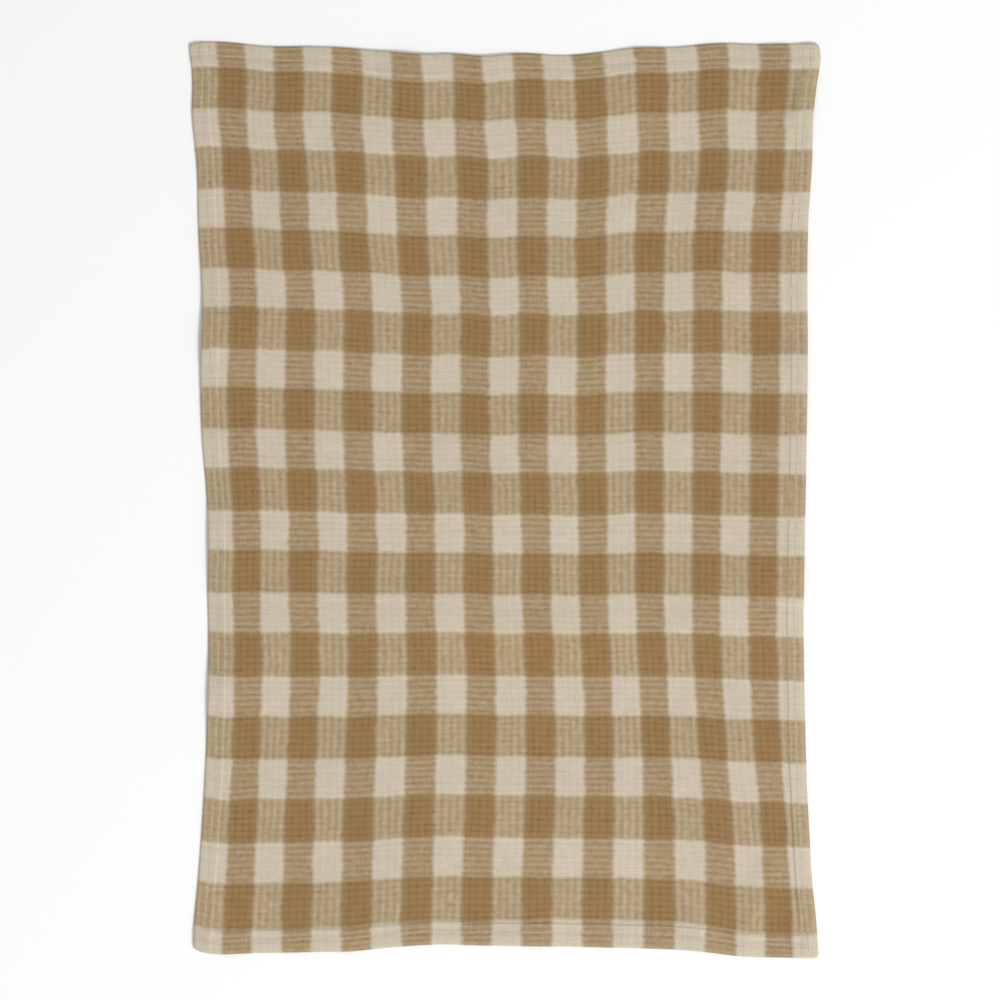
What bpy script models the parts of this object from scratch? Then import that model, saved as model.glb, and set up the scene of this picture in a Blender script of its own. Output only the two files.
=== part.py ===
"""Tea towel: one waffle-woven cloth, hemmed on all four sides and lying face up.

The frame is X across the cloth, Y along it and Z up. The origin lies on the surface under the towel, at the
middle of its outline's box. The cloth is one lofted sheet: four short tables say how far each edge has pulled
in from that box, and one table places the low swells where the cloth has not settled. A Solidify modifier
gives it one layer's thickness in the middle and three layers' in the hems. Sizes are in millimetres.
"""

from collections import namedtuple
from math import cos, exp, radians, sin

import bmesh
import bpy
import numpy as np

MM = 0.001

# Driving dimensions.
WIDTH = 491.0  # across the outline's box, corner to corner
LENGTH = 713.0  # along the outline's box
CLOTH_THICKNESS = 1.8  # one layer of the waffle weave
HEM_THICKNESS = 3.0  # three layers, pressed and sewn
SIDE_HEM = 13.0  # width of the hems along the two long sides
END_HEM = 18.0  # width of the hems across the two ends
HEM_STEP = 2.5  # across which the cloth drops from the hem to a single layer
FOLD_ROUND = 1.6  # across which the hem's outer fold rounds off
FOLD_LIFT = 0.7  # how high the outer fold's line stands off the surface
FOLD_THICKNESS = 1.5  # left at that line
BEDDED = 0.3  # a swell lower than this lies on the surface
FACES_ACROSS = 30  # between the two side hems
FACES_ALONG = 44  # between the two end hems

Edge = namedtuple("Edge", "along inset")
Swell = namedtuple("Swell", "x y heading long wide rise")

# The long sides, measured down from the top end: how far each has pulled in.
LEFT_SIDE = (
    Edge(0, 0.0),
    Edge(35, 2.7),
    Edge(55, 2.3),
    Edge(95, 5.8),
    Edge(150, 7.4),
    Edge(215, 10.5),
    Edge(262, 9.0),
    Edge(320, 10.3),
    Edge(360, 13.6),
    Edge(404, 15.2),
    Edge(433, 14.4),
    Edge(474, 15.2),
    Edge(550, 13.6),
    Edge(600, 11.3),
    Edge(657, 7.2),
    Edge(696, 3.7),
    Edge(713, 3.4),
)
RIGHT_SIDE = (
    Edge(0, 1.2),
    Edge(10, 0.0),
    Edge(35, 3.1),
    Edge(55, 5.4),
    Edge(90, 6.4),
    Edge(145, 9.6),
    Edge(250, 10.0),
    Edge(330, 11.0),
    Edge(400, 12.4),
    Edge(455, 13.2),
    Edge(520, 12.2),
    Edge(570, 10.9),
    Edge(618, 8.6),
    Edge(657, 6.2),
    Edge(680, 3.6),
    Edge(713, 1.2),
)
# The ends, measured across from the left side.
TOP_END = (
    Edge(0, 1.0),
    Edge(15, 0.0),
    Edge(35, 0.6),
    Edge(60, 3.3),
    Edge(100, 3.7),
    Edge(130, 5.0),
    Edge(155, 7.4),
    Edge(190, 9.7),
    Edge(207, 9.0),
    Edge(238, 11.2),
    Edge(262, 9.0),
    Edge(302, 10.4),
    Edge(330, 7.6),
    Edge(350, 5.0),
    Edge(385, 4.0),
    Edge(412, 1.4),
    Edge(450, 1.9),
    Edge(491, 1.0),
)
BOTTOM_END = (
    Edge(0, 6.8),
    Edge(10, 4.4),
    Edge(50, 4.3),
    Edge(100, 5.2),
    Edge(125, 5.8),
    Edge(155, 8.7),
    Edge(190, 10.9),
    Edge(230, 10.1),
    Edge(290, 9.3),
    Edge(340, 8.2),
    Edge(375, 7.0),
    Edge(400, 5.0),
    Edge(425, 1.8),
    Edge(460, 0.8),
    Edge(491, 0.0),
)
# Low swells: the middle, the heading of the ridge in degrees from X, half its length and width, its height.
SWELLS = (
    Swell(-80, 322, 85, 34, 20, 2.6),
    Swell(106, 324, 95, 30, 22, 2.2),
    Swell(-10, 336, 80, 26, 18, 1.6),
    Swell(231, 312, 118, 46, 11, 2.4),
    Swell(-150, 235, 62, 150, 60, 1.9),
    Swell(-231, 128, 4, 42, 26, 2.6),
    Swell(-226, -34, 172, 40, 24, 2.4),
    Swell(-224, -150, 8, 36, 28, 2.2),
    Swell(229, 96, 176, 44, 24, 2.2),
    Swell(226, -62, 6, 40, 26, 2.6),
    Swell(20, -110, 178, 175, 26, 1.6),
    Swell(-130, -338, 96, 34, 18, 2.0),
    Swell(20, -336, 84, 30, 20, 2.2),
    Swell(150, -330, 108, 42, 13, 2.4),
    Swell(196, -316, 72, 44, 12, 2.2),
)

CLOTH_COLOUR = (0.41, 0.27, 0.155, 1.0)  # the mean of its tan and cream yarns
CLOTH_ROUGHNESS = 0.95


def smooth(rows, along):
    """Reads a table's second column at a place along its first, on a curve with no kinks."""
    place, value = np.array(rows, float).T
    slope = np.gradient(value, place)
    low = int(np.clip(np.searchsorted(place, along) - 1, 0, len(place) - 2))
    span = place[low + 1] - place[low]
    t = (along - place[low]) / span
    start = (1 + 2 * t) * (1 - t) ** 2 * value[low] + t * (1 - t) ** 2 * span * slope[low]
    end = t * t * (3 - 2 * t) * value[low + 1] - t * t * (1 - t) * span * slope[low + 1]
    return start + end


def swell_height(x, y):
    """Height of the cloth's underside over the surface, which is nought where the cloth has settled."""
    total = 0.0
    for swell in SWELLS:
        turn = radians(swell.heading)
        along = (x - swell.x) * cos(turn) + (y - swell.y) * sin(turn)
        across = (y - swell.y) * cos(turn) - (x - swell.x) * sin(turn)
        total += swell.rise * exp(-((along / swell.long) ** 2) - (across / swell.wide) ** 2)
    return max(0.0, total - BEDDED)


def grid_lines(length, hem, faces):
    """Distances from one edge of the cloth to the other, closer together where a hem folds and steps."""
    near = [0.0, FOLD_ROUND, hem, hem + HEM_STEP]
    between = np.linspace(near[-1], length - near[-1], faces + 1)[1:-1]
    return near + list(between) + [length - place for place in reversed(near)]


def outline_point(across, down):
    """Where a point of the uneven cloth lies, from its distances across and down its outline's box."""
    left = smooth(LEFT_SIDE, down)
    right = WIDTH - smooth(RIGHT_SIDE, down)
    top = LENGTH / 2 - smooth(TOP_END, across)
    bottom = smooth(BOTTOM_END, across) - LENGTH / 2
    x = left + (right - left) * across / WIDTH - WIDTH / 2
    return x, top + (bottom - top) * down / LENGTH


def layer_thickness(across, down):
    """Thickness of the cloth at a point: least on the outer fold, most on the hem, one layer inside it."""
    side = min(across, WIDTH - across)
    end = min(down, LENGTH - down)
    if min(side, end) < FOLD_ROUND / 2:
        return FOLD_THICKNESS
    inside = min(side - SIDE_HEM, end - END_HEM)
    step = float(np.clip(inside / HEM_STEP, 0.0, 1.0))
    return HEM_THICKNESS + (CLOTH_THICKNESS - HEM_THICKNESS) * step


def make_underside(columns, rows):
    """The cloth's underside as an open grid, with each point's share of the hem's thickness."""
    grid = bmesh.new()
    bmesh.ops.create_grid(grid, x_segments=len(columns) - 1, y_segments=len(rows) - 1, size=0.5)
    shares = []
    for vert in grid.verts:
        across = columns[round((vert.co.x + 0.5) * (len(columns) - 1))]
        down = rows[round((0.5 - vert.co.y) * (len(rows) - 1))]
        x, y = outline_point(across, down)
        thickness = layer_thickness(across, down)
        fold = FOLD_LIFT if thickness == FOLD_THICKNESS else 0.0
        vert.co = (x * MM, y * MM, (swell_height(x, y) + fold) * MM)
        shares.append(thickness / HEM_THICKNESS)
    middle = box_middle(grid)
    for vert in grid.verts:
        vert.co.x -= middle[0]
        vert.co.y -= middle[1]
    mesh = bpy.data.meshes.new("tea_towel")
    grid.to_mesh(mesh)
    grid.free()
    return mesh, shares


def box_middle(grid):
    """The middle of the outline's box, in X and Y."""
    places = np.array([vert.co[:2] for vert in grid.verts])
    return (places.min(axis=0) + places.max(axis=0)) / 2


def make_cloth_material():
    """Undyed and tan cotton, seen as one mean colour."""
    material = bpy.data.materials.new("checked_cotton")
    material.use_nodes = True
    shader = material.node_tree.nodes["Principled BSDF"]
    shader.inputs["Base Color"].default_value = CLOTH_COLOUR
    shader.inputs["Roughness"].default_value = CLOTH_ROUGHNESS
    shader.inputs["Metallic"].default_value = 0.0
    return material


def make_towel(collection):
    """The whole towel: its underside, thickened upwards into the cloth and its hems."""
    columns = grid_lines(WIDTH, SIDE_HEM, FACES_ACROSS)
    rows = grid_lines(LENGTH, END_HEM, FACES_ALONG)
    mesh, shares = make_underside(columns, rows)
    towel = bpy.data.objects.new("tea_towel", mesh)
    collection.objects.link(towel)
    layers = towel.vertex_groups.new(name="layers")
    for index, share in enumerate(shares):
        layers.add([index], share, "REPLACE")
    solid = towel.modifiers.new("thickness", "SOLIDIFY")
    solid.thickness = HEM_THICKNESS * MM
    solid.offset = 1.0
    solid.vertex_group = layers.name
    mesh.materials.append(make_cloth_material())
    mesh.shade_smooth()
    return towel


def main():
    """Clears the scene and models the towel in a collection of its own."""
    for thing in list(bpy.data.objects):
        bpy.data.objects.remove(thing)
    collection = bpy.data.collections.new("tea_towel")
    bpy.context.scene.collection.children.link(collection)
    make_towel(collection)


if __name__ == "__main__":
    main()
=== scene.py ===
"""Looks of a checked waffle-weave tea towel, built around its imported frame.

The towel is one closed sheet of cloth. Its face and back carry the waffle cells as real relief, its four
hems are raised bands with a rounded outer fold, and its checks follow the threads. The sewing that holds the
hems is a second piece. Sizes along the cloth are in millimetres from the top left corner of the outline's
box, and cells of the weave are counted from the same corner.
"""

import logging
import math
from collections.abc import Callable
from dataclasses import dataclass, field
from enum import Enum
from typing import Any

import bpy
import numpy as np
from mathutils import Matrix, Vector


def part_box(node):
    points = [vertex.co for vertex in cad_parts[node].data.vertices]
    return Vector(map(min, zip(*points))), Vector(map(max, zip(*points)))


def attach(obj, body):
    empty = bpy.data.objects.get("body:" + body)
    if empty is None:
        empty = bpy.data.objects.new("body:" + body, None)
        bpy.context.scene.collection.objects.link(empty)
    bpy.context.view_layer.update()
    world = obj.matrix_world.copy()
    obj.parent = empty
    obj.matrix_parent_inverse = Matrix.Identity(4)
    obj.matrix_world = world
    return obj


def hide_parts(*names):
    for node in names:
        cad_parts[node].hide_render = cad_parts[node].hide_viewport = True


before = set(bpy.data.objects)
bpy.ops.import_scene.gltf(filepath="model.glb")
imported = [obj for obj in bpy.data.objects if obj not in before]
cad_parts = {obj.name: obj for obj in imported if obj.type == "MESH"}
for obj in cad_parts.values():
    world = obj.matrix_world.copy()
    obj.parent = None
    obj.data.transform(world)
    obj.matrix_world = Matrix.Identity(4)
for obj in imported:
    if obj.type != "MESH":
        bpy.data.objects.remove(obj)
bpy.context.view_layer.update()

MM = 0.001
TOWEL_NODE = "tea_towel"

log = logging.getLogger("tea_towel")
Colour = tuple[float, float, float]
Array = np.ndarray

WHITE: Colour = (1.0, 1.0, 1.0)
TINY = 1e-9


class Face(Enum):
    """The two faces of the cloth, by how far their cells are shifted, in cells."""

    FRONT = 0.0
    BACK = 0.5


def smooth(rows: Array, places: Array) -> Array:
    """Reads a table of places and values on a curve with no kinks.

    Args:
        rows: The table, with its places in the first column and its values in the second.
        places: Where to read it.

    Returns:
        The value at each place.
    """
    place, value = rows.T
    slope = np.gradient(value, place)
    at = np.clip(places, place[0], place[-1])
    low = np.clip(np.searchsorted(place, at) - 1, 0, len(place) - 2)
    span = place[low + 1] - place[low]
    share = (at - place[low]) / span
    rest = 1 - share
    start = rest * rest * ((1 + 2 * share) * value[low] + share * span * slope[low])
    finish = share * share * ((3 - 2 * share) * value[low + 1] - rest * span * slope[low + 1])
    return start + finish


def ease(share: Array) -> Array:
    """Turns a share, held between 0 and 1, into one that starts and ends level."""
    held = np.clip(share, 0.0, 1.0)
    return held * held * (3 - 2 * held)


@dataclass(frozen=True)
class Drift:
    """A soft, even unevenness, made of a few waves that run in chance directions."""

    length: float
    amount: float
    seed: int
    waves: int = 9
    length_range: tuple[float, float] = (0.7, 1.5)

    def at(self, x: Array, y: Array) -> Array:
        """The unevenness at some places.

        Args:
            x: Places across, in millimetres.
            y: Places along, in millimetres.

        Returns:
            Values of either sign, mostly smaller than the amount.
        """
        chance = np.random.default_rng(self.seed)
        total = np.zeros_like(x, dtype=float)
        for _ in range(self.waves):
            heading, phase = chance.uniform(0, math.tau, 2)
            rate = math.tau / (self.length * chance.uniform(*self.length_range))
            total += np.sin((x * math.cos(heading) + y * math.sin(heading)) * rate + phase)
        return self.amount * total / math.sqrt(self.waves)


@dataclass(frozen=True)
class Swell:
    """A low ridge where the cloth has not settled, in millimetres from the towel's middle."""

    x: float
    y: float
    heading: float
    long: float
    wide: float
    rise: float

    def height(self, x: Array, y: Array) -> Array:
        """The ridge's height at some places.

        Args:
            x: Places across, from the towel's middle.
            y: Places along, from the towel's middle.

        Returns:
            The height at each place, in millimetres.
        """
        turn = math.radians(self.heading)
        along = (x - self.x) * math.cos(turn) + (y - self.y) * math.sin(turn)
        across = (y - self.y) * math.cos(turn) - (x - self.x) * math.sin(turn)
        return self.rise * np.exp(-((along / self.long) ** 2) - (across / self.wide) ** 2)


# How far each edge has pulled in from the outline's box. Columns: place along the edge, inset.
LEFT_SIDE = np.array([
    (0, 0.0), (35, 2.7), (55, 2.3), (95, 5.8), (150, 7.4), (215, 10.5), (262, 9.0), (320, 10.3), (360, 13.6),
    (404, 15.2), (433, 14.4), (474, 15.2), (550, 13.6), (600, 11.3), (657, 7.2), (696, 3.7), (713, 3.4),
])
RIGHT_SIDE = np.array([
    (0, 1.2), (10, 0.0), (35, 3.1), (55, 5.4), (90, 6.4), (145, 9.6), (250, 10.0), (330, 11.0), (400, 12.4),
    (455, 13.2), (520, 12.2), (570, 10.9), (618, 8.6), (657, 6.2), (680, 3.6), (713, 1.2),
])
TOP_END = np.array([
    (0, 1.0), (15, 0.0), (35, 0.6), (60, 3.3), (100, 3.7), (130, 5.0), (155, 7.4), (190, 9.7), (207, 9.0),
    (238, 11.2), (262, 9.0), (302, 10.4), (330, 7.6), (350, 5.0), (385, 4.0), (412, 1.4), (450, 1.9),
    (491, 1.0),
])
BOTTOM_END = np.array([
    (0, 6.8), (10, 4.4), (50, 4.3), (100, 5.2), (125, 5.8), (155, 8.7), (190, 10.9), (230, 10.1), (290, 9.3),
    (340, 8.2), (375, 7.0), (400, 5.0), (425, 1.8), (460, 0.8), (491, 0.0),
])


@dataclass(frozen=True)
class Pull:
    """A place where washing has drawn one set of threads aside, in millimetres from the top left corner."""

    across: float
    down: float
    reach_across: float
    reach_down: float
    shift: float

    def at(self, across: Array, down: Array) -> Array:
        """How far the threads are drawn aside at some places.

        Args:
            across: Places across the cloth, in millimetres.
            down: Places down the cloth, in millimetres.

        Returns:
            The shift at each place, in millimetres.
        """
        off_across = (across - self.across) / self.reach_across
        off_down = (down - self.down) / self.reach_down
        return self.shift * np.exp(-(off_across**2) - off_down**2)


# Lengthwise threads are drawn to the right, or to the left where the shift is below zero.
SIDEWAYS_PULLS = (
    # The upper left leans out, and so do the stripes along the top hem.
    Pull(120, 60, 100, 130, -6),
    Pull(300, 0, 130, 40, -6),
    Pull(395, 90, 60, 60, 3),
    # The left side is drawn out further down.
    Pull(60, 400, 90, 120, -3),
    Pull(90, 600, 80, 80, -3),
    # The lower right is drawn the other way, most of all near its corner.
    Pull(300, 550, 110, 110, 5),
    Pull(420, 640, 80, 90, 7),
)
# Crosswise threads are drawn down, or up where the shift is below zero.
ENDWISE_PULLS = (
    # The middle of the cloth rides up, more on the left.
    Pull(250, 350, 400, 300, -5),
    Pull(50, 340, 80, 220, -4),
    Pull(460, 500, 60, 140, -2),
    # The bands dip beside the top hem's hollow and along the bottom hem.
    Pull(190, 15, 60, 30, 3),
    Pull(60, 700, 80, 35, 4),
    Pull(200, 700, 60, 35, 3),
    Pull(460, 700, 60, 35, 4),
)

# The solid's own swells: middle, heading in degrees, half the length and width, height.
SWELLS = (
    Swell(-80, 322, 85, 34, 20, 2.6),
    Swell(106, 324, 95, 30, 22, 2.2),
    Swell(-10, 336, 80, 26, 18, 1.6),
    Swell(231, 312, 118, 46, 11, 2.4),
    Swell(-150, 235, 62, 150, 60, 1.9),
    Swell(-231, 128, 4, 42, 26, 2.6),
    Swell(-226, -34, 172, 40, 24, 2.4),
    Swell(-224, -150, 8, 36, 28, 2.2),
    Swell(229, 96, 176, 44, 24, 2.2),
    Swell(226, -62, 6, 40, 26, 2.6),
    Swell(20, -110, 178, 175, 26, 1.6),
    Swell(-130, -338, 96, 34, 18, 2.0),
    Swell(20, -336, 84, 30, 20, 2.2),
    Swell(150, -330, 108, 42, 13, 2.4),
    Swell(196, -316, 72, 44, 12, 2.2),
)
# Fine creases on the front, mostly where the corners are drawn in.
CREASES = (
    Swell(227, 312, 80, 36, 3.6, 1.8),
    Swell(236, 322, 78, 26, 3.2, 1.5),
    Swell(-84, 327, 88, 18, 7.0, 0.7),
    Swell(103, 328, 92, 16, 7.0, 0.7),
    Swell(226, -336, 98, 18, 3.6, 1.4),
    Swell(236, -338, 84, 14, 3.2, 1.2),
    Swell(-232, 336, 112, 18, 4.0, 0.8),
    Swell(-229, -338, 82, 16, 4.0, 0.8),
    Swell(-30, -60, 8, 90, 6.0, 0.3),
    Swell(110, 60, 172, 80, 6.0, 0.3),
    Swell(-120, 150, 100, 70, 6.0, 0.3),
)


@dataclass
class Spots:
    """Places on the cloth, in millimetres: along its threads, in plan, and in from its edges."""

    across: Array
    down: Array
    x: Array
    y: Array
    side: Array
    end: Array


@dataclass(frozen=True)
class Weave:
    """The waffle cells and the checks, counted in cells from the top left corner."""

    cells_across: int = 83
    cells_down: int = 150
    side_stripe: float = 3.5
    stripe: float = 4.0
    end_band: float = 4.0
    tan_band: float = 7.0
    cream_band: float = 6.5
    depth: float = 0.5
    cream_depth: float = 0.4
    second_ridge: float = 0.84
    crossing: float = 0.16

    def cell_height(self, across: Array, down: Array, face: Face) -> Array:
        """Height of the waffle: 1 where two ridges cross, 0 in a pit.

        Args:
            across: Places in cells across.
            down: Places in cells down.
            face: The face looked at. The back's ridges lie behind the front's pits.

        Returns:
            The height at each place, as a share of the relief's depth.
        """
        near_upright = 2 * np.abs((across + face.value) % 1 - 0.5)
        near_level = 2 * np.abs((down + face.value) % 1 - 0.5)
        either = near_upright + near_level - near_upright * near_level
        height = (1 - self.crossing) * either + self.crossing * near_upright * near_level
        every_other = np.where(np.round(across + face.value) % 2 < 0.5, 1.0, self.second_ridge)
        return height * (1 - near_upright * (1 - near_level) * (1 - every_other))

    def on_tan(self, place: Array, first: float, tan: float, cream: float) -> Array:
        """Whether places lie on a tan stripe.

        Args:
            place: The places, in cells.
            first: Where the first tan stripe starts.
            tan: The width of a tan stripe.
            cream: The width of a cream one.

        Returns:
            1 on a tan stripe and 0 on a cream one, with a soft edge.
        """
        repeat = tan + cream
        off_middle = np.abs((place - first - tan / 2 + repeat / 2) % repeat - repeat / 2)
        return ease(tan / 2 - off_middle + 0.5)

    def pit_depth(self, across: Array, down: Array) -> Array:
        """Depth of the relief: the cream threads are fluffier and fill their cells.

        Args:
            across: Places in cells across.
            down: Places in cells down.

        Returns:
            The depth at each place, in millimetres.
        """
        upright = self.on_tan(across, self.side_stripe, self.stripe, self.stripe)
        level = self.on_tan(down, self.end_band, self.tan_band, self.cream_band)
        return self.cream_depth + (self.depth - self.cream_depth) * np.maximum(upright, level)


@dataclass
class Cloth:
    """The towel's shape: where each point of the cloth lies, over and under."""

    width: float = 491.0
    length: float = 713.0
    thickness: float = 1.8
    hem_thickness: float = 2.6
    corner_extra: float = 0.8
    side_hem: float = 13.0
    end_hem: float = 18.0
    hem_step: float = 1.6
    fold_round: float = 2.0
    edge_drop: float = 0.75
    edge_reach: float = 3.6
    corner_round: float = 3.5
    bedded: float = 0.3
    loft: float = 0.4
    side_hold: float = 30.0
    end_hold: float = 20.0
    back_sink: float = 0.5
    pressed: float = 0.62
    side_seam: float = 7.6
    end_seam: float = 11.0
    side_sink: float = 0.35
    end_sink: float = 0.65
    seam_width: float = 1.7
    seam_run_out: float = 5.0
    corner_reach: float = 1.0
    corner_soft: float = 3.0
    wander_hold: float = 12.0
    pucker_pitch: float = 9.5
    pucker_beat: float = 67.0
    pucker_swing: float = 0.4
    pucker_rise: float = 0.3
    pucker_depth: float = 0.85
    pucker_reach: float = 0.7
    wander_across: Drift = Drift(34, 0.28, seed=11)
    wander_down: Drift = Drift(34, 0.28, seed=12)
    unrest: tuple[Drift, ...] = (
        Drift(120, 0.16, seed=21),
        Drift(46, 0.13, seed=22),
        Drift(19, 0.07, seed=23),
    )
    hem_ripple: Drift = Drift(60, 2.6, seed=31)
    weave: Weave = field(default_factory=Weave)

    def __post_init__(self) -> None:
        """Takes the towel's middle from the frame."""
        low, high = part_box(TOWEL_NODE)
        self.middle = ((low[0] + high[0]) / 2, (low[1] + high[1]) / 2)

    def rounded(self, across: Array, down: Array) -> tuple[Array, Array]:
        """Turns the box's square corners into round ones.

        Args:
            across: Places across the box.
            down: Places down the box.

        Returns:
            The same places, with those in a corner drawn in onto a quarter circle.
        """
        a = np.maximum(self.corner_round - np.minimum(across, self.width - across), 0.0)
        b = np.maximum(self.corner_round - np.minimum(down, self.length - down), 0.0)
        share = np.maximum(a, b) / np.maximum(np.hypot(a, b), TINY)
        share = np.where((a > 0) & (b > 0), share, 1.0)
        in_side, in_end = a * (1 - share), b * (1 - share)
        across = across + np.where(across < self.width / 2, in_side, -in_side)
        down = down + np.where(down < self.length / 2, in_end, -in_end)
        return across, down

    def place(self, across: Array, down: Array) -> Spots:
        """Where points of the cloth lie.

        Args:
            across: Places across the outline's box, by the threads.
            down: Places down the outline's box, by the threads.

        Returns:
            The same points in plan and in from the edges.
        """
        inner_across, inner_down = self.rounded(across, down)
        left = smooth(LEFT_SIDE, inner_down)
        right = self.width - smooth(RIGHT_SIDE, inner_down)
        top = smooth(TOP_END, inner_across)
        bottom = self.length - smooth(BOTTOM_END, inner_across)
        share = inner_across / self.width
        from_side = np.minimum(inner_across, self.width - inner_across)
        from_end = np.minimum(inner_down, self.length - inner_down)
        sideways = sum(pull.at(inner_across, inner_down) for pull in SIDEWAYS_PULLS)
        endwise = sum(pull.at(inner_across, inner_down) for pull in ENDWISE_PULLS)
        x = left + (right - left) * share + sideways * ease(from_side / self.side_hold)
        inside = np.minimum(across, self.width - across)
        x += self.wander_across.at(across, down) * ease(inside / self.wander_hold)
        y = top + (bottom - top) * inner_down / self.length + endwise * ease(from_end / self.end_hold)
        inside = np.minimum(down, self.length - down)
        y += self.wander_down.at(across, down) * ease(inside / self.wander_hold)
        side, end = np.minimum(x - left, right - x), np.minimum(y - top, bottom - y)
        return Spots(across, down, x - self.width / 2, self.length / 2 - y, side, end)

    def hem_share(self, spots: Spots) -> Array:
        """How far each place belongs to a hem: 1 on it, 0 on the single layer."""
        inside = np.minimum(spots.side - self.side_hem, spots.end - self.end_hem)
        return 1 - ease(inside / self.hem_step + 0.5)

    def puckers(self, spots: Spots) -> Array:
        """Small ripples that the sewing has drawn up beside its line.

        Args:
            spots: Where to find them.

        Returns:
            How far each place is raised, in millimetres.
        """
        by_side = spots.side / self.side_hem < spots.end / self.end_hem
        depth = np.where(by_side, spots.side / self.side_hem, spots.end / self.end_hem)
        along = np.where(by_side, spots.down, spots.across)
        bent = along + self.hem_ripple.at(spots.across, spots.down)
        beat = 1 - self.pucker_swing + self.pucker_swing * np.sin(bent * math.tau / self.pucker_beat)
        wave = np.sin(bent * math.tau / self.pucker_pitch) * beat
        return self.pucker_rise * wave * np.exp(-(((depth - self.pucker_depth) / self.pucker_reach) ** 2))

    def seam_groove(self, spots: Spots) -> Array:
        """How far the sewing pulls the cloth in along its lines.

        Args:
            spots: Where to find it.

        Returns:
            How far each place is sunk, in millimetres.
        """
        by_side = self.side_sink * np.exp(-(((spots.side - self.side_seam) / self.seam_width) ** 2))
        by_end = self.end_sink * np.exp(-(((spots.end - self.end_seam) / self.seam_width) ** 2))
        by_side = by_side * ease(spots.end / self.seam_run_out)
        by_end = by_end * ease(spots.side / self.seam_run_out)
        return np.maximum(by_side, by_end)

    def edge_fall(self, spots: Spots) -> Array:
        """How far the hems' soft outer edges fall away towards the fold."""
        nearest = np.minimum(spots.side, spots.end)
        return self.edge_drop * np.exp(-((nearest / self.edge_reach) ** 2))

    def heights(self, spots: Spots) -> tuple[Array, Array]:
        """Heights of the cloth's two faces, without the relief of the weave.

        Args:
            spots: Where to find them.

        Returns:
            The back's height and the front's.
        """
        x, y, hem = spots.x, spots.y, self.hem_share(spots)
        back = np.maximum(sum(swell.height(x, y) for swell in SWELLS) - self.bedded, 0.0)
        over_side = ease((self.side_hem + self.corner_reach - spots.side) / self.corner_soft)
        over_end = ease((self.end_hem + self.corner_reach - spots.end) / self.corner_soft)
        layers = self.thickness + (self.hem_thickness - self.thickness) * hem
        layers = layers + self.corner_extra * (over_side * over_end)
        unrest = sum(drift.at(x, y) for drift in self.unrest) + sum(crease.height(x, y) for crease in CREASES)
        front = back + layers + unrest + self.loft + self.puckers(spots)
        sunk = self.back_sink * 4 * hem * (1 - hem)
        return back + sunk, front - self.seam_groove(spots) - self.edge_fall(spots)

    def relief(self, spots: Spots, face: Face) -> Array:
        """How far the weave's pits sink below its ridges on one face.

        Args:
            spots: Where to find it.
            face: The face.

        Returns:
            The depth at each place, in millimetres.
        """
        cells_across, cells_down = self.cells(spots.across, spots.down)
        flat = 1 - (1 - self.pressed) * self.hem_share(spots)
        height = self.weave.cell_height(cells_across, cells_down, face)
        return self.weave.pit_depth(cells_across, cells_down) * flat * (1 - height)

    def cells(self, across: Array, down: Array) -> tuple[Array, Array]:
        """Places counted in cells of the weave from the top left corner.

        Args:
            across: Places across the outline's box, by the threads.
            down: Places down the outline's box, by the threads.

        Returns:
            The same places in cells across and in cells down.
        """
        inset = self.fold_round
        cells_across = (across - inset) / (self.width - 2 * inset) * self.weave.cells_across
        cells_down = (down - inset) / (self.length - 2 * inset) * self.weave.cells_down
        return cells_across, cells_down

    def surface(self, spots: Spots, face: Face) -> Array:
        """Points on one face of the cloth.

        Args:
            spots: Their places.
            face: The face.

        Returns:
            A row of X, Y and Z for each place, in millimetres from the towel's middle.
        """
        back, front = self.heights(spots)
        sink = self.relief(spots, face)
        z = front - sink if face is Face.FRONT else back + sink
        return np.column_stack([spots.x, spots.y, z])


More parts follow.
